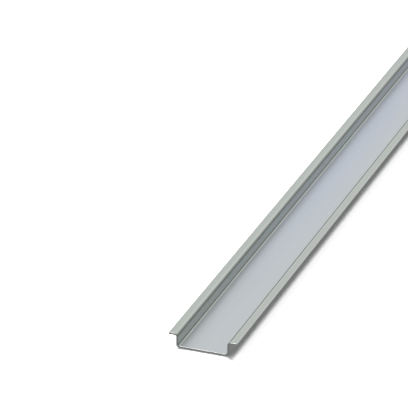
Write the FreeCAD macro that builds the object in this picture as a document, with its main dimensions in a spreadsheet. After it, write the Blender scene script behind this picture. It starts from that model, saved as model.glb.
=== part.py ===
# Top-hat mounting rail, 35 mm wide and 7.5 mm high, one stock metre long and without holes.
#
# The rail is one strip of zinc-plated steel, roll formed into a hat section: a shallow
# channel with a web at each side, and a flange turned outwards from the top of each web.
# Control gear hooks on behind the two flanges, and the underside of the channel lies
# against the mounting panel. The four bends share one inside radius, and each has its
# inner and outer arc about one centre, so the strip keeps its thickness all the way round.
#
# Millimetres. X runs along the rail, Y across it, and +Z points away from the panel.
# The origin is the middle of the underside.

import FreeCAD, Part
import math
import os

import Sketcher

NODE = "top_hat_rail"

# Each driving dimension: its name in the sheet, its size and what it measures.
DIMENSIONS = (
    ("rail_length", 1000.0, "one stock length, end to end"),
    ("channel_width", 27.0, "across the outer faces of the two webs"),
    ("flange_width", 4.0, "from a web's outer face to the edge of its flange"),
    ("rail_height", 7.5, "from the underside to the top of the flanges"),
    ("sheet_thickness", 1.0, "of the strip, all round the section"),
    ("bend_radius", 0.8, "inside radius of each of the four bends"),
    ("strip_edge_radius", 0.25, "rounding of the strip's slit edges, at the flange edges"),
    ("end_break", 0.2, "edge break round each cut end"),
)
# The most of the strip's thickness that one rounded edge may take.
EDGE_SHARE_OF_WALL = 0.45

# The points of a line or arc that a constraint can name.
START, END, CENTRE = 1, 2, 3
ORIGIN = (-1, START)

TOLERANCE = 1e-4


def make_sheet(doc):
    """The spreadsheet of driving dimensions, each cell with its own alias."""
    sheet = doc.addObject("Spreadsheet::Sheet", "Dimensions")
    for row, (alias, size, meaning) in enumerate(DIMENSIONS, start=1):
        sheet.set(f"A{row}", alias)
        sheet.set(f"B{row}", str(size))
        sheet.set(f"C{row}", meaning)
        sheet.setAlias(f"B{row}", alias)
    doc.recompute()
    return sheet


def origin_plane(body, role):
    """One of the body's own origin planes, found by its role."""
    return next(f for f in body.Origin.OriginFeatures if f.Role == role)


def arc(centre, radius, start_deg, end_deg):
    """An arc of the section, drawn anticlockwise from start_deg to end_deg."""
    circle = Part.Circle(centre, FreeCAD.Vector(0, 0, 1), radius)
    return Part.ArcOfCircle(circle, math.radians(start_deg), math.radians(end_deg))


def line(start, end):
    """A straight run of the section between two (across, up) points."""
    return Part.LineSegment(FreeCAD.Vector(*start, 0), FreeCAD.Vector(*end, 0))


def draw_half_section(body, sheet):
    """The fully constrained right half of the hat section, closed along the rail's middle plane."""
    sketch = body.newObject("Sketcher::SketchObject", "HalfSection")
    sketch.AttachmentSupport = (origin_plane(body, "YZ_Plane"), [""])
    sketch.MapMode = "FlatFace"

    # Starting places, worked out from the sheet so that the solver begins at its answer.
    inner = sheet.bend_radius
    outer = sheet.bend_radius + sheet.sheet_thickness
    web = sheet.channel_width / 2
    web_inside = web - sheet.sheet_thickness
    edge = web + sheet.flange_width
    top = sheet.rail_height
    under = top - sheet.sheet_thickness
    floor = sheet.sheet_thickness
    foot_centre = FreeCAD.Vector(web - outer, outer, 0)
    crown_centre = FreeCAD.Vector(web + inner, top - outer, 0)

    shapes = {
        "underside": line((0, 0), (foot_centre.x, 0)),
        "foot_outer": arc(foot_centre, outer, -90, 0),
        "web_outer": line((web, foot_centre.y), (web, crown_centre.y)),
        "crown_inner": arc(crown_centre, inner, 90, 180),
        "flange_under": line((crown_centre.x, under), (edge, under)),
        "flange_edge": line((edge, under), (edge, top)),
        "flange_top": line((edge, top), (crown_centre.x, top)),
        "crown_outer": arc(crown_centre, outer, 90, 180),
        "web_inner": line((web_inside, crown_centre.y), (web_inside, foot_centre.y)),
        "foot_inner": arc(foot_centre, inner, -90, 0),
        "channel_floor": line((foot_centre.x, floor), (0, floor)),
        "middle": line((0, floor), (0, 0)),
    }
    index = {name: sketch.addGeometry(shape, False) for name, shape in shapes.items()}

    def constrain(kind, *where):
        """Adds one constraint, its elements given by the names above, and returns its number."""
        places = [index.get(w, w) if isinstance(w, str) else w for w in where]
        return sketch.addConstraint(Sketcher.Constraint(kind, *places))

    for a, a_point, b, b_point in (
        ("underside", END, "foot_outer", START),
        ("foot_outer", END, "web_outer", START),
        ("web_outer", END, "crown_inner", END),
        ("crown_inner", START, "flange_under", START),
        ("flange_top", END, "crown_outer", START),
        ("crown_outer", END, "web_inner", START),
        ("web_inner", END, "foot_inner", END),
        ("foot_inner", START, "channel_floor", START),
    ):
        constrain("Tangent", a, a_point, b, b_point)
    for a, a_point, b, b_point in (
        ("flange_under", END, "flange_edge", START),
        ("flange_edge", END, "flange_top", START),
        ("channel_floor", END, "middle", START),
        ("middle", END, "underside", START),
        ("foot_outer", CENTRE, "foot_inner", CENTRE),
        ("crown_outer", CENTRE, "crown_inner", CENTRE),
        ("underside", START, *ORIGIN),
    ):
        constrain("Coincident", a, a_point, b, b_point)
    for name in ("underside", "flange_under", "flange_top", "channel_floor"):
        constrain("Horizontal", name)
    for name in ("web_outer", "flange_edge", "web_inner", "middle"):
        constrain("Vertical", name)
    constrain("Equal", "foot_inner", "crown_inner")

    sizes = {
        "half_channel": (
            constrain("DistanceX", *ORIGIN, "web_outer", START, web),
            "Dimensions.channel_width / 2",
        ),
        "flange": (
            constrain("DistanceX", "web_outer", START, "flange_edge", START, sheet.flange_width),
            "Dimensions.flange_width",
        ),
        "height": (
            constrain("DistanceY", *ORIGIN, "flange_top", START, top),
            "Dimensions.rail_height",
        ),
        "thickness": (
            constrain("DistanceY", "flange_edge", START, "flange_edge", END, floor),
            "Dimensions.sheet_thickness",
        ),
        "inside_bend": (
            constrain("Radius", "foot_inner", inner),
            "Dimensions.bend_radius",
        ),
    }
    for name, (number, expression) in sizes.items():
        sketch.renameConstraint(number, name)
        sketch.setExpression(f"Constraints.{name}", expression)
    return sketch


def roll_form(doc, body, sketch):
    """Runs the half section along the rail and mirrors it into the whole hat."""
    pad = body.newObject("PartDesign::Pad", "HalfRail")
    pad.Profile = sketch
    pad.SideType = "Symmetric"
    pad.setExpression("Length", "Dimensions.rail_length")
    sketch.Visibility = False
    doc.recompute()

    whole = body.newObject("PartDesign::Mirrored", "WholeRail")
    whole.Originals = [pad]
    whole.MirrorPlane = (origin_plane(body, "XZ_Plane"), [""])
    whole.Refine = True
    body.Tip = whole
    doc.recompute()
    return whole


def edge_names(shape, wanted):
    """The names of the edges of a shape for which wanted(edge) holds."""
    return [f"Edge{number}" for number, edge in enumerate(shape.Edges, start=1) if wanted(edge)]


def round_strip_edges(doc, body, base, sheet):
    """Rounds the slit edges of the strip, which run along the two flange edges."""
    half_width = sheet.channel_width / 2 + sheet.flange_width

    def is_slit_edge(edge):
        """Whether an edge runs from end to end at the full width of the rail."""
        box = edge.BoundBox
        runs_along = box.XLength > sheet.rail_length / 2
        return runs_along and abs(abs(box.Center.y) - half_width) < TOLERANCE

    rounded = body.newObject("PartDesign::Fillet", "StripEdges")
    rounded.Base = (base, edge_names(base.Shape, is_slit_edge))
    rounded.setExpression(
        "Radius",
        f"min(Dimensions.strip_edge_radius; {EDGE_SHARE_OF_WALL} * Dimensions.sheet_thickness)",
    )
    body.Tip = rounded
    doc.recompute()
    return rounded


def break_cut_ends(doc, body, base, sheet):
    """Takes the sharp edge off the outline of both cut ends."""
    half_length = sheet.rail_length / 2

    def is_end_edge(edge):
        """Whether an edge lies in the plane of a cut end."""
        box = edge.BoundBox
        return box.XLength < TOLERANCE and abs(abs(box.Center.x) - half_length) < TOLERANCE

    broken = body.newObject("PartDesign::Chamfer", "CutEnds")
    broken.Base = (base, edge_names(base.Shape, is_end_edge))
    broken.setExpression("Size", "Dimensions.end_break")
    body.Tip = broken
    doc.recompute()
    return broken


def check(doc, body):
    """Stops before anything is written if a feature failed or the rail isn't one sound solid."""
    failed = [o.Label for o in doc.Objects if {"Invalid", "Error"} & set(o.State)]
    if failed:
        raise RuntimeError(f"these features failed: {failed}")
    shape = body.Shape
    if shape.isNull() or not shape.isValid() or len(shape.Solids) != 1:
        raise RuntimeError(f"{body.Label} is not one valid solid")


def main():
    doc = FreeCAD.newDocument("TopHatRail")
    sheet = make_sheet(doc)
    body = doc.addObject("PartDesign::Body", "Rail")
    body.Label = NODE
    sketch = draw_half_section(body, sheet)
    doc.recompute()
    if not sketch.FullyConstrained:
        raise RuntimeError("the half section is not fully constrained")
    whole = roll_form(doc, body, sketch)
    rounded = round_strip_edges(doc, body, whole, sheet)
    break_cut_ends(doc, body, rounded, sheet)
    check(doc, body)

    os.makedirs("parts", exist_ok=True)
    body.Shape.exportStep(os.path.join("parts", f"{NODE}.step"))
    box = body.Shape.BoundBox
    print(
        f"{NODE}: {box.XLength:.2f} x {box.YLength:.2f} x {box.ZLength:.2f} mm,"
        f" {body.Shape.Volume:.1f} mm3, {len(body.Shape.Faces)} faces"
    )


main()
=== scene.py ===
"""The looks of a 35 mm top-hat mounting rail, one metre long, zinc plated and unperforated.

Everything is in metres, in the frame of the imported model: X along the rail, Y across it, Z up
from the floor that it lies on. The photographed end is the one at the lowest X.
"""

import logging
import math
from collections.abc import Mapping, Sequence
from dataclasses import dataclass
from enum import Enum
from typing import Any, Union

import bmesh
import bpy
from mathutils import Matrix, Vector


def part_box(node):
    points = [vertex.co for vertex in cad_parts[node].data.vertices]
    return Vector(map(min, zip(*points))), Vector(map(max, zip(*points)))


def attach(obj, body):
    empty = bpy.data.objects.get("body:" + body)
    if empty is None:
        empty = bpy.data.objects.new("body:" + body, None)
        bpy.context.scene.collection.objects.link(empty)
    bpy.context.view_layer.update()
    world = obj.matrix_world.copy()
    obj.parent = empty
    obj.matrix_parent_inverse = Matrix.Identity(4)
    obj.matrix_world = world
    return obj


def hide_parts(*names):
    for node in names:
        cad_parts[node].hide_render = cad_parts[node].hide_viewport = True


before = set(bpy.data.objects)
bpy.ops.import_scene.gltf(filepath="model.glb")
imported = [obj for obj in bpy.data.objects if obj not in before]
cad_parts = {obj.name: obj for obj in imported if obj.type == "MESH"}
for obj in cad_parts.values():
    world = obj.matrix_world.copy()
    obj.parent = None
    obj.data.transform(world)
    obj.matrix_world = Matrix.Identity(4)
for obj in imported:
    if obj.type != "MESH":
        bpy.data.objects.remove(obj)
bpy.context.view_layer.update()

MM = 0.001
QUARTER_TURN = math.pi / 2
MERGE_DISTANCE = 1e-6
PHOTO_SIDE_PX = 408

RAIL_NODE = "top_hat_rail"
ROOT_BODY = "root"

# Noise runs from 0 to 1 about this value.
NOISE_MIDDLE = 0.5

# The least that the normal has along X on a cut end, and on a cut end or its broken edge.
END_FLAT = 0.99
END_LEAN = 0.1
# The least that the normal has along Z where the broken edge is a rim, which gets the painted
# highlight.
RIM_LEAN = 0.2

log = logging.getLogger("rail")

Colour = tuple[float, float, float]
Triple = tuple[float, float, float]
Span = tuple[float, float]
Value = Union["Shade", float]


class Surface(Enum):
    """The rail's surfaces with a finish of their own, numbered as their material slots."""

    PLATED = 0
    CUT = 1
    # A cut end's broken edge where it leans upwards, which carries the painted highlight.
    BURNISH_AND_HIGHLIGHT_RIM = 2
    SLIT = 3


@dataclass(frozen=True)
class Grain:
    """The grain of a noise: how many grains there are to the metre along X, Y and Z.

    It has finer layers on top of the first, as many as detail says, and roughness is how
    strong they are.
    """

    per_metre: Triple
    detail: float
    roughness: float = 0.5


class Shade:
    """A node socket that takes part in Python arithmetic: each expression adds a Math node."""

    def __init__(self, bench: "ShaderBench", socket: bpy.types.NodeSocket) -> None:
        """Wraps one output socket.

        Args:
            bench: The material's bench, which adds the nodes.
            socket: The output socket that carries the value.
        """
        self.bench = bench
        self.socket = socket

    def __add__(self, other: Value) -> "Shade":
        """This value plus another."""
        return self.bench.maths("ADD", self, other)

    def __radd__(self, other: Value) -> "Shade":
        """Another value plus this one."""
        return self.bench.maths("ADD", other, self)

    def __sub__(self, other: Value) -> "Shade":
        """This value less another."""
        return self.bench.maths("SUBTRACT", self, other)

    def __rsub__(self, other: Value) -> "Shade":
        """Another value less this one."""
        return self.bench.maths("SUBTRACT", other, self)

    def __mul__(self, other: Value) -> "Shade":
        """This value times another."""
        return self.bench.maths("MULTIPLY", self, other)

    def __rmul__(self, other: Value) -> "Shade":
        """Another value times this one."""
        return self.bench.maths("MULTIPLY", other, self)

    def __abs__(self) -> "Shade":
        """The size of this value without its sign."""
        return self.bench.maths("ABSOLUTE", self)

    def stepped(self, low: float, high: float) -> "Shade":
        """Rises smoothly from 0 where this value is low to 1 where it is high.

        Args:
            low: The value that gives 0.
            high: The value that gives 1.

        Returns:
            The eased share of the way from low to high.
        """
        sockets = {"Value": self, "From Min": low, "From Max": high}
        return self.bench.node(
            "ShaderNodeMapRange", {"interpolation_type": "SMOOTHSTEP"}, sockets
        )


class ShaderBench:
    """Adds the nodes of one material, or of the light all round."""

    def __init__(
        self, owner: Union[bpy.types.Material, bpy.types.World], shader: str, output: str
    ) -> None:
        """Starts a node tree that has only its output and the shader that feeds it.

        Args:
            owner: The material or world.
            shader: The type of the shader node.
            output: The type of the output node.
        """
        self.owner = owner
        owner.use_nodes = True
        self.tree = owner.node_tree
        self.tree.nodes.clear()
        end = self.tree.nodes.new(output)
        self.shader = self.tree.nodes.new(shader)
        self.tree.links.new(self.shader.outputs[0], end.inputs["Surface"])

    @classmethod
    def for_material(cls, name: str) -> "ShaderBench":
        """A bench for a new material with a Principled shader."""
        material = bpy.data.materials.new(name)
        return cls(material, "ShaderNodeBsdfPrincipled", "ShaderNodeOutputMaterial")

    @classmethod
    def for_world(cls, name: str) -> "ShaderBench":
        """A bench for the light of a new world."""
        world = bpy.data.worlds.new(name)
        return cls(world, "ShaderNodeBackground", "ShaderNodeOutputWorld")

    @staticmethod
    def _pick(sockets: Sequence[bpy.types.NodeSocket], key: str) -> bpy.types.NodeSocket:
        """The socket whose identifier or, failing that, whose name is key."""
        by_identifier = next((s for s in sockets if s.identifier == key), None)
        return by_identifier or next(s for s in sockets if s.name == key)

    def feed(self, node: bpy.types.Node, sockets: Mapping[str, Any]) -> None:
        """Links or sets a node's input sockets.

        Args:
            node: The node.
            sockets: Each socket's identifier or name, and its value or the Shade that feeds it.
        """
        for key, value in sockets.items():
            socket = self._pick(node.inputs, key)
            if isinstance(value, Shade):
                self.tree.links.new(value.socket, socket)
            else:
                socket.default_value = value

    def node(
        self,
        kind: str,
        settings: Mapping[str, Any],
        sockets: Mapping[str, Any],
        output: str = "",
    ) -> Shade:
        """Adds a node of any type.

        Args:
            kind: The node's type, such as ShaderNodeTexNoise.
            settings: The node's own settings, which are set before its sockets.
            sockets: Its inputs, each a value or a Shade.
            output: The wanted output's identifier or name, or nothing for the first one.

        Returns:
            The wanted output.
        """
        made = self.tree.nodes.new(kind)
        for key, value in settings.items():
            setattr(made, key, value)
        self.feed(made, sockets)
        return Shade(self, self._pick(made.outputs, output) if output else made.outputs[0])

    def maths(self, operation: str, *values: Value) -> Shade:
        """Adds the Math node for one operation on one or two values."""
        sockets = dict(zip(("Value", "Value_001"), values))
        return self.node("ShaderNodeMath", {"operation": operation}, sockets)

    def place(self) -> Shade:
        """The point's own place on the piece, in metres."""
        return self.node("ShaderNodeTexCoord", {}, {}, "Object")

    def axis(self, place: Shade, name: str) -> Shade:
        """One coordinate, X, Y or Z, of a place."""
        return self.node("ShaderNodeSeparateXYZ", {}, {"Vector": place}, name)

    def noise(self, place: Shade, grain: Grain) -> Shade:
        """Noise from 0 to 1.

        Args:
            place: The point's place.
            grain: The noise's grain.

        Returns:
            The noise.
        """
        counts = {"Vector": place, "Vector_001": grain.per_metre}
        sockets = {
            "Vector": self.node("ShaderNodeVectorMath", {"operation": "MULTIPLY"}, counts),
            "Scale": 1.0,
            "Detail": grain.detail,
            "Roughness": grain.roughness,
        }
        return self.node("ShaderNodeTexNoise", {"noise_dimensions": "3D"}, sockets, "Fac")

    def blend(self, share: Value, first: Any, second: Any) -> Shade:
        """Mixes two colours.

        Args:
            share: How much of the second colour there is, from 0 to 1.
            first: The first colour, as numbers or a Shade.
            second: The second colour, as numbers or a Shade.

        Returns:
            The mixed colour.
        """
        colours = {"A_Color": first, "B_Color": second}
        opaque = {k: v if isinstance(v, Shade) else (*v, 1.0) for k, v in colours.items()}
        sockets = {"Factor_Float": share, **opaque}
        return self.node("ShaderNodeMix", {"data_type": "RGBA"}, sockets, "Result_Color")

    def bump(self, height: Shade, distance: float, strength: float) -> Shade:
        """The normal of a surface with small relief.

        Args:
            height: The relief, from 0 to 1.
            distance: What a height of 1 stands for, in metres.
            strength: How much of the relief shows, from 0 to 1.

        Returns:
            The normal.
        """
        sockets = {"Height": height, "Distance": distance, "Strength": strength}
        return self.node("ShaderNodeBump", {}, sockets)

    def finish(self, sockets: Mapping[str, Any]) -> Union[bpy.types.Material, bpy.types.World]:
        """Feeds the shader and gives back the material or world."""
        self.feed(self.shader, sockets)
        return self.owner


@dataclass(frozen=True)
class ZincPlate:
    """Zinc plate, clear passivated: satin metal with roll streaks and a faint clouded tint.

    The rolls have burnished the webs and the bends. The channel's floor is bluer away from the
    rail's ends and from its right web: tint_run is how far from an end the blue goes on coming
    up, and tint_lean is where it comes up across the rail. The finishes of the section's parts
    fade into each other over fade.
    """

    flange_tint: Colour = (0.501, 0.545, 0.507)
    rose_tint: Colour = (0.515, 0.545, 0.520)
    near_end_tint: Colour = (0.558, 0.599, 0.615)
    channel_tint: Colour = (0.548, 0.590, 0.662)
    tint_run: float = 230 * MM
    tint_lean: Span = (-9 * MM, 5 * MM)
    fade: float = 0.4 * MM
    roughness: float = 0.41
    crown_roughness: float = 0.32
    web_roughness: float = 0.19
    foot_roughness: float = 0.30
    streaks: Grain = Grain((7.0, 700.0, 700.0), detail=6.0, roughness=0.6)
    streak_spread: float = 0.10
    streak_relief: float = 0.7
    hairlines: Grain = Grain((40.0, 5200.0, 5200.0), detail=2.0)
    clouds: Grain = Grain((11.0, 60.0, 60.0), detail=4.0)
    cloud_spread: float = 0.08
    cloud_edge: Span = (0.35, 0.65)
    relief: float = 0.02 * MM
    relief_strength: float = 0.25

    def channel_mask(self, bench: ShaderBench, place: Shade, rail: "TopHatRail") -> Shade:
        """Tells the channel's floor from the rest of the section.

        Args:
            bench: The material's bench.
            place: The point's place.
            rail: The rail, whose section places the floor.

        Returns:
            A value that is 1 on the channel's floor.
        """
        across, up = abs(bench.axis(place, "Y")), bench.axis(place, "Z")
        within = 1 - across.stepped(rail.foot_y - self.fade, rail.foot_y + self.fade)
        return within * (1 - up.stepped(rail.sheet, rail.sheet + self.fade))

    def side_masks(
        self, bench: ShaderBench, place: Shade, rail: "TopHatRail"
    ) -> tuple[Shade, Shade, Shade]:
        """Tells the bends and the webs from the rest of the section.

        Args:
            bench: The material's bench.
            place: The point's place.
            rail: The rail, whose section places the bends and webs.

        Returns:
            Three values, which are 1 on the bends under the flanges, on the webs and on the
            bends at their feet.
        """
        across, up = abs(bench.axis(place, "Y")), bench.axis(place, "Z")
        crown_z = rail.high.z - rail.outer_radius
        beside_floor = across.stepped(rail.foot_y - self.fade, rail.foot_y)
        beside_flange = 1 - across.stepped(rail.crown_y, rail.crown_y + self.fade)
        above_foot = up.stepped(rail.outer_radius, rail.outer_radius + self.fade)
        below_crown = 1 - up.stepped(crown_z - self.fade, crown_z)
        sides = beside_floor * beside_flange
        crowns, feet = sides * (1 - below_crown), sides * (1 - above_foot)
        return crowns, sides * above_foot * below_crown, feet

    def material(self, rail: "TopHatRail") -> bpy.types.Material:
        """Makes the finish for one rail.

        Args:
            rail: The rail, whose section places the channel and the bends.

        Returns:
            The material.
        """
        bench = ShaderBench.for_material("zinc_plate")
        place = bench.place()
        streaks = bench.noise(place, self.streaks)
        hairlines = bench.noise(place, self.hairlines)
        clouds = bench.noise(place, self.clouds)

        half = rail.length / 2
        away_from_ends = 1 - abs(bench.axis(place, "X")).stepped(half - self.tint_run, half)
        blue = away_from_ends * bench.axis(place, "Y").stepped(*self.tint_lean)
        outside = bench.blend(clouds.stepped(*self.cloud_edge), self.flange_tint, self.rose_tint)
        inside = bench.blend(blue, self.near_end_tint, self.channel_tint)

        satin = self.roughness + (streaks - NOISE_MIDDLE) * self.streak_spread
        satin = satin + (clouds - NOISE_MIDDLE) * self.cloud_spread
        worked = (self.crown_roughness, self.web_roughness, self.foot_roughness)
        for mask, roughness in zip(self.side_masks(bench, place, rail), worked):
            satin = satin + mask * (roughness - self.roughness)

        height = self.streak_relief * streaks + (1 - self.streak_relief) * hairlines
        return bench.finish(
            {
                "Base Color": bench.blend(self.channel_mask(bench, place, rail), outside, inside),
                "Metallic": 1.0,
                "Roughness": satin,
                "Normal": bench.bump(height, self.relief, self.relief_strength),
            }
        )


@dataclass(frozen=True)
class BareSteel:
    """Bare steel where the strip was cut, with fine lines that run the way the blade went."""

    name: str
    bright: Colour
    dull: Colour
    roughness: float
    lines: Grain
    line_spread: float = 0.18
    line_edge: Span = (0.3, 0.7)
    relief: float = 0.02 * MM
    relief_strength: float = 0.3

    def material(self) -> bpy.types.Material:
        """Makes the finish.

        Returns:
            The material.
        """
        bench = ShaderBench.for_material(self.name)
        lines = bench.noise(bench.place(), self.lines)
        return bench.finish(
            {
                "Base Color": bench.blend(lines.stepped(*self.line_edge), self.dull, self.bright),
                "Metallic": 1.0,
                "Roughness": self.roughness + (lines - NOISE_MIDDLE) * self.line_spread,
                "Normal": bench.bump(lines, self.relief, self.relief_strength),
            }
        )


END_LINES = Grain((900.0, 3800.0, 500.0), detail=4.0, roughness=0.6)
SLIT_LINES = Grain((60.0, 2500.0, 2500.0), detail=4.0, roughness=0.6)
SHEARED_END = BareSteel(
    "sheared_end",
    bright=(0.55, 0.56, 0.55),
    dull=(0.42, 0.43, 0.42),
    roughness=0.34,
    lines=END_LINES,
)
# The upward-leaning broken edge of the cut ends: partly a real sheared burnish, but brighter than
# the cut face as a painted highlight, given only where the edge leans upwards.
BURNISH_AND_HIGHLIGHT_RIM = BareSteel(
    "burnish_and_painted_highlight_rim",
    bright=(0.80, 0.81, 0.80),
    dull=(0.70, 0.71, 0.70),
    roughness=0.26,
    lines=END_LINES,
)
# The strip's slit edges: bare steel painted brighter than the plating, a painted reflection that
# stands in for the white floor, which the metal doesn't mirror.
SLIT_EDGE = BareSteel(
    "slit_edge",
    bright=(0.82, 0.83, 0.82),
    dull=(0.72, 0.73, 0.72),
    roughness=0.42,
    lines=SLIT_LINES,
)


@dataclass(frozen=True)
class WhiteSweep:
    """The matt white floor of the studio."""

    colour: Colour = (0.93, 0.93, 0.93)
    roughness: float = 0.9

    def material(self) -> bpy.types.Material:
        """Makes the finish."""
        bench = ShaderBench.for_material("white_sweep")
        return bench.finish({"Base Color": (*self.colour, 1.0), "Roughness": self.roughness})


@dataclass
class TopHatRail:
    """The rail: a strip of sheet bent four times into a hat section and cut off square."""

    channel_width: float = 27 * MM
    sheet: float = 1 * MM
    bend_radius: float = 0.8 * MM
    strip_edge_radius: float = 0.25 * MM
    end_break: float = 0.2 * MM
    bend_steps: int = 16
    rounding_steps: int = 4
    end_steps: int = 3
    length_steps: int = 50

    def __post_init__(self) -> None:
        """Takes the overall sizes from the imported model."""
        self.low, self.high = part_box(RAIL_NODE)
        self.length = self.high.x - self.low.x
        self.outer_radius = self.bend_radius + self.sheet
        self.foot_y = self.channel_width / 2 - self.outer_radius
        self.crown_y = self.channel_width / 2 + self.bend_radius

    @staticmethod
    def extend(
        bm: bmesh.types.BMesh, edge: bmesh.types.BMEdge, travel: Triple
    ) -> bmesh.types.BMEdge:
        """Draws the section on from its open edge, straight.

        Args:
            bm: The mesh.
            edge: The open edge, which spans the sheet's thickness.
            travel: How far the edge goes.

        Returns:
            The new open edge.
        """
        made = bmesh.ops.extrude_edge_only(bm, edges=[edge])["geom"]
        ends = [g for g in made if isinstance(g, bmesh.types.BMVert)]
        bmesh.ops.translate(bm, verts=ends, vec=travel)
        edges = [g for g in made if isinstance(g, bmesh.types.BMEdge)]
        return next(e for e in edges if set(e.verts) == set(ends))

    def bend(
        self, bm: bmesh.types.BMesh, edge: bmesh.types.BMEdge, centre: Triple, angle: float
    ) -> bmesh.types.BMEdge:
        """Draws the section on from its open edge, round a bend.

        Args:
            bm: The mesh.
            edge: The open edge, which spans the sheet's thickness.
            centre: A point on the bend's axis, which runs along X.
            angle: The turn about +X, in radians.

        Returns:
            The new open edge.
        """
        turned = bmesh.ops.spin(
            bm,
            geom=[edge, *edge.verts],
            cent=centre,
            axis=(1, 0, 0),
            angle=angle,
            steps=self.bend_steps,
        )
        return next(g for g in turned["geom_last"] if isinstance(g, bmesh.types.BMEdge))

    def draw_section(self, bm: bmesh.types.BMesh) -> None:
        """Draws the whole section as a row of faces in the plane of the near end.

        Args:
            bm: The mesh.
        """
        near, top = self.low.x, self.high.z
        middle = [bm.verts.new((near, 0, z)) for z in (0, self.sheet)]
        edge = bm.edges.new(middle)
        edge = self.extend(bm, edge, (0, self.foot_y, 0))
        edge = self.bend(bm, edge, (near, self.foot_y, self.outer_radius), QUARTER_TURN)
        edge = self.extend(bm, edge, (0, 0, top - 2 * self.outer_radius))
        edge = self.bend(bm, edge, (near, self.crown_y, top - self.outer_radius), -QUARTER_TURN)
        self.extend(bm, edge, (0, self.high.y - self.crown_y, 0))
        half = [*bm.verts, *bm.edges, *bm.faces]
        bmesh.ops.mirror(bm, geom=half, axis="Y", merge_dist=MERGE_DISTANCE)
        bmesh.ops.remove_doubles(bm, verts=bm.verts, dist=MERGE_DISTANCE)

    def run_along(self, bm: bmesh.types.BMesh) -> None:
        """Draws the section out into the whole length of the rail.

        Args:
            bm: The mesh, which has only the section.
        """
        section = [*bm.faces, *bm.edges, *bm.verts]
        made = bmesh.ops.extrude_face_region(bm, geom=section)["geom"]
        far = [g for g in made if isinstance(g, bmesh.types.BMVert)]
        bmesh.ops.translate(bm, verts=far, vec=(self.length, 0, 0))
        bmesh.ops.recalc_face_normals(bm, faces=bm.faces)

    @staticmethod
    def round_edges(
        bm: bmesh.types.BMesh, edges: list[bmesh.types.BMEdge], radius: float, steps: int
    ) -> None:
        """Rounds edges over.

        Args:
            bm: The mesh.
            edges: The edges to round.
            radius: The rounding's radius.
            steps: The number of faces across the rounding.
        """
        bmesh.ops.bevel(
            bm,
            geom=edges,
            offset=radius,
            offset_type="OFFSET",
            segments=steps,
            profile=0.5,
            affect="EDGES",
            material=-1,
        )

    def long_edges(self, bm: bmesh.types.BMesh) -> list[bmesh.types.BMEdge]:
        """The edges that run along most of the rail."""
        half = self.length / 2
        return [e for e in bm.edges if abs(e.verts[0].co.x - e.verts[1].co.x) > half]

    def is_slit_edge(self, edge: bmesh.types.BMEdge) -> bool:
        """Whether a long edge is one of the strip's own edges, at the rail's full width."""
        return all(abs(abs(v.co.y) - self.high.y) < MERGE_DISTANCE for v in edge.verts)

    def is_end_outline(self, edge: bmesh.types.BMEdge) -> bool:
        """Whether an edge is where a cut end meets the rest of the surface."""
        on_end = [abs(f.normal.x) > END_FLAT for f in edge.link_faces]
        return any(on_end) and not all(on_end)

    def surface_of(self, face: bmesh.types.BMFace) -> Surface:
        """Tells which of the rail's surfaces a face belongs to.

        Args:
            face: The face.

        Returns:
            The surface. A rim is the part of a cut end's broken edge that leans upwards; it gets
            the painted highlight.
        """
        endwise = abs(face.normal.x)
        if endwise > END_LEAN:
            is_rim = endwise < END_FLAT and face.normal.z > RIM_LEAN
            return Surface.BURNISH_AND_HIGHLIGHT_RIM if is_rim else Surface.CUT
        rounding_starts = self.high.y - self.strip_edge_radius
        is_slit = abs(face.calc_center_median().y) > rounding_starts
        return Surface.SLIT if is_slit else Surface.PLATED

    def build(self) -> bpy.types.Object:
        """Makes the rail's mesh object, with its place in its mesh.

        Returns:
            The rail's mesh object.
        """
        bm = bmesh.new()
        self.draw_section(bm)
        self.run_along(bm)
        slit_edges = [e for e in self.long_edges(bm) if self.is_slit_edge(e)]
        self.round_edges(bm, slit_edges, self.strip_edge_radius, self.rounding_steps)
        outlines = [e for e in bm.edges if self.is_end_outline(e)]
        self.round_edges(bm, outlines, self.end_break, self.end_steps)
        cuts = self.length_steps - 1
        bmesh.ops.subdivide_edges(bm, edges=self.long_edges(bm), cuts=cuts, use_grid_fill=True)
        bmesh.ops.recalc_face_normals(bm, faces=bm.faces)
        for face in bm.faces:
            face.smooth = True
            face.material_index = self.surface_of(face).value
        mesh = bpy.data.meshes.new("rolled_rail")
        bm.to_mesh(mesh)
        bm.free()
        rail = bpy.data.objects.new("rolled_rail", mesh)
        bpy.context.scene.collection.objects.link(rail)
        return rail

    def dress(self, rail: bpy.types.Object) -> None:
        """Gives the rail its finishes and keeps its flats flat beside the bends.

        Args:
            rail: The rail's mesh object.
        """
        finishes = {
            Surface.PLATED: ZincPlate().material(self),
            Surface.CUT: SHEARED_END.material(),
            Surface.BURNISH_AND_HIGHLIGHT_RIM: BURNISH_AND_HIGHLIGHT_RIM.material(),
            Surface.SLIT: SLIT_EDGE.material(),
        }
        for surface in Surface:
            rail.data.materials.append(finishes[surface])
        rail.modifiers.new("flat_shading", "WEIGHTED_NORMAL")

    def make(self) -> bpy.types.Object:
        """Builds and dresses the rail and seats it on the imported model.

        Returns:
            The rail's mesh object.
        """
        rail = self.build()
        self.dress(rail)
        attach(rail, ROOT_BODY)
        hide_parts(RAIL_NODE)
        return rail


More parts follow.
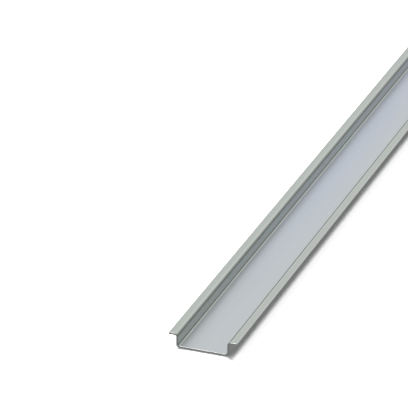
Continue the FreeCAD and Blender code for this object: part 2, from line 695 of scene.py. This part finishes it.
@dataclass(frozen=True)
class FarLamp:
    """A round soft lamp so far away that it falls on everything from the same direction.

    A lamp lights either the floor or the metal, as in_metal says. The lamps of the floor would
    whiten the rail out in the views from the top and the sides if the metal mirrored them.
    """

    name: str
    toward: Triple
    width_deg: float
    strength: float
    in_metal: bool = False

    def make(self) -> bpy.types.Object:
        """Hangs the lamp and turns it to shine from where toward points.

        Returns:
            The lamp.
        """
        light = bpy.data.lights.new(self.name, "SUN")
        light.angle = math.radians(self.width_deg)
        light.energy = self.strength
        lamp = bpy.data.objects.new(self.name, light)
        lamp.rotation_euler = Vector(self.toward).to_track_quat("Z", "Y").to_euler()
        lamp.visible_glossy = self.in_metal
        lamp.visible_diffuse = not self.in_metal
        bpy.context.scene.collection.objects.link(lamp)
        return lamp


OVERHEAD_LAMP = FarLamp("overhead_lamp", toward=(1.2, -0.234, 1.0), width_deg=14.5, strength=3.4)
FILL_LAMP = FarLamp("fill_lamp", toward=(0.80, 0.62, 0.70), width_deg=30.0, strength=4.8)
END_LAMP = FarLamp(
    "end_lamp",
    toward=(-0.43, 0.319, 0.844),
    width_deg=20.0,
    strength=0.70,
    in_metal=True,
)


@dataclass(frozen=True)
class Dome:
    """The light all round, with a wide bright panel that leans over each end of the rail.

    It gets brighter away from the horizon, and goes on below it, where the metal mirrors it in
    the floor's place. A panel's left and right edges run along X. Each is given by how far its
    Y moves for a height of 1, and by where its fade starts and ends. The edge that faces the
    other panel is given by its X on a sphere of radius 1. The panel at the near end is dimmer
    and reaches higher up.
    """

    horizon: float = 0.15
    zenith: float = 0.74
    near_panel: float = 0.25
    far_panel: float = 0.89
    left_slope: float = 2.19
    left_fade: Span = (-0.50, 0.50)
    right_slope: float = -0.107
    right_fade: Span = (-0.658, -0.192)
    near_fade: Span = (0.15, 0.40)
    far_fade: Span = (0.414, 0.619)

    def make(self) -> bpy.types.World:
        """Makes the dome the scene's world.

        Returns:
            The world.
        """
        bench = ShaderBench.for_world("studio_dome")
        direction = bench.node("ShaderNodeTexCoord", {}, {}, "Generated")
        ahead, side, up = (bench.axis(direction, name) for name in "XYZ")
        inside_left = (up * self.left_slope - side).stepped(*self.left_fade)
        inside_right = (side + up * self.right_slope).stepped(*self.right_fade)
        near = (0 - ahead).stepped(*self.near_fade) * self.near_panel
        far = ahead.stepped(*self.far_fade) * self.far_panel
        level = self.horizon + abs(up) * (self.zenith - self.horizon)
        world = bench.finish({"Strength": level + inside_left * inside_right * (near + far)})
        bpy.context.scene.world = world
        return world


@dataclass(frozen=True)
class Studio:
    """A white floor under a dome, with two far lamps for the floor and one for the metal.

    The floor is lit brighter than white, so the metal doesn't mirror it: it would whiten the
    webs in the views from behind.
    """

    floor_side: float = 60.0

    def make(self) -> bpy.types.Object:
        """Builds the floor, the dome and the lamps.

        Returns:
            The floor.
        """
        bm = bmesh.new()
        bmesh.ops.create_grid(bm, x_segments=1, y_segments=1, size=self.floor_side / 2)
        mesh = bpy.data.meshes.new("studio_floor")
        bm.to_mesh(mesh)
        bm.free()
        mesh.materials.append(WhiteSweep().material())
        floor = bpy.data.objects.new("studio_floor", mesh)
        bpy.context.scene.collection.objects.link(floor)
        floor.visible_glossy = False

        Dome().make()
        OVERHEAD_LAMP.make()
        FILL_LAMP.make()
        END_LAMP.make()
        bpy.context.scene.view_settings.view_transform = "Standard"
        return floor


@dataclass(frozen=True)
class PhotoCamera:
    """The camera at the photograph's viewing angle, with one known point on its own pixel."""

    aim_pixel: tuple[float, float] = (202.6, 352.1)
    distance: float = 1.8
    yaw_deg: float = 20.7
    pitch_deg: float = 25.5
    focal_px: float = 3770.0
    sensor_mm: float = 36.0
    clip: Span = (0.05, 200.0)

    def make(self, aim: Vector) -> bpy.types.Object:
        """Sets the camera up as the scene's camera.

        Args:
            aim: The point in the row frame that falls on aim_pixel.

        Returns:
            The camera.
        """
        yaw, pitch = math.radians(self.yaw_deg), math.radians(self.pitch_deg)
        flat = math.cos(pitch)
        ahead = Vector((math.cos(yaw) * flat, math.sin(yaw) * flat, -math.sin(pitch)))
        right = Vector((math.sin(yaw), -math.cos(yaw), 0.0))
        up = right.cross(ahead)
        middle = PHOTO_SIDE_PX / 2
        to_aim = (
            ahead
            + right * ((self.aim_pixel[0] - middle) / self.focal_px)
            + up * ((middle - self.aim_pixel[1]) / self.focal_px)
        )
        data = bpy.data.cameras.new("photo_camera")
        data.sensor_width = self.sensor_mm
        data.lens = self.focal_px * self.sensor_mm / PHOTO_SIDE_PX
        data.clip_start, data.clip_end = self.clip
        camera = bpy.data.objects.new("photo_camera", data)
        camera.location = aim - to_aim.normalized() * self.distance
        camera.rotation_euler = ahead.to_track_quat("-Z", "Y").to_euler()
        bpy.context.scene.collection.objects.link(camera)
        bpy.context.scene.camera = camera
        return camera


def main() -> None:
    """Builds the rail, the studio and the camera, in that order."""
    logging.basicConfig(level=logging.INFO, format="%(name)s: %(message)s")
    shape = TopHatRail()
    rail = shape.make()
    log.info("%s: %d faces, rides on %s", rail.name, len(rail.data.polygons), ROOT_BODY)
    floor = Studio().make()
    log.info("%s: the rail lies on it", floor.name)
    camera = PhotoCamera().make(Vector((shape.low.x, 0.0, 0.0)))
    log.info("%s: %.0f mm lens", camera.name, camera.data.lens)


if __name__ == "__main__":
    main()
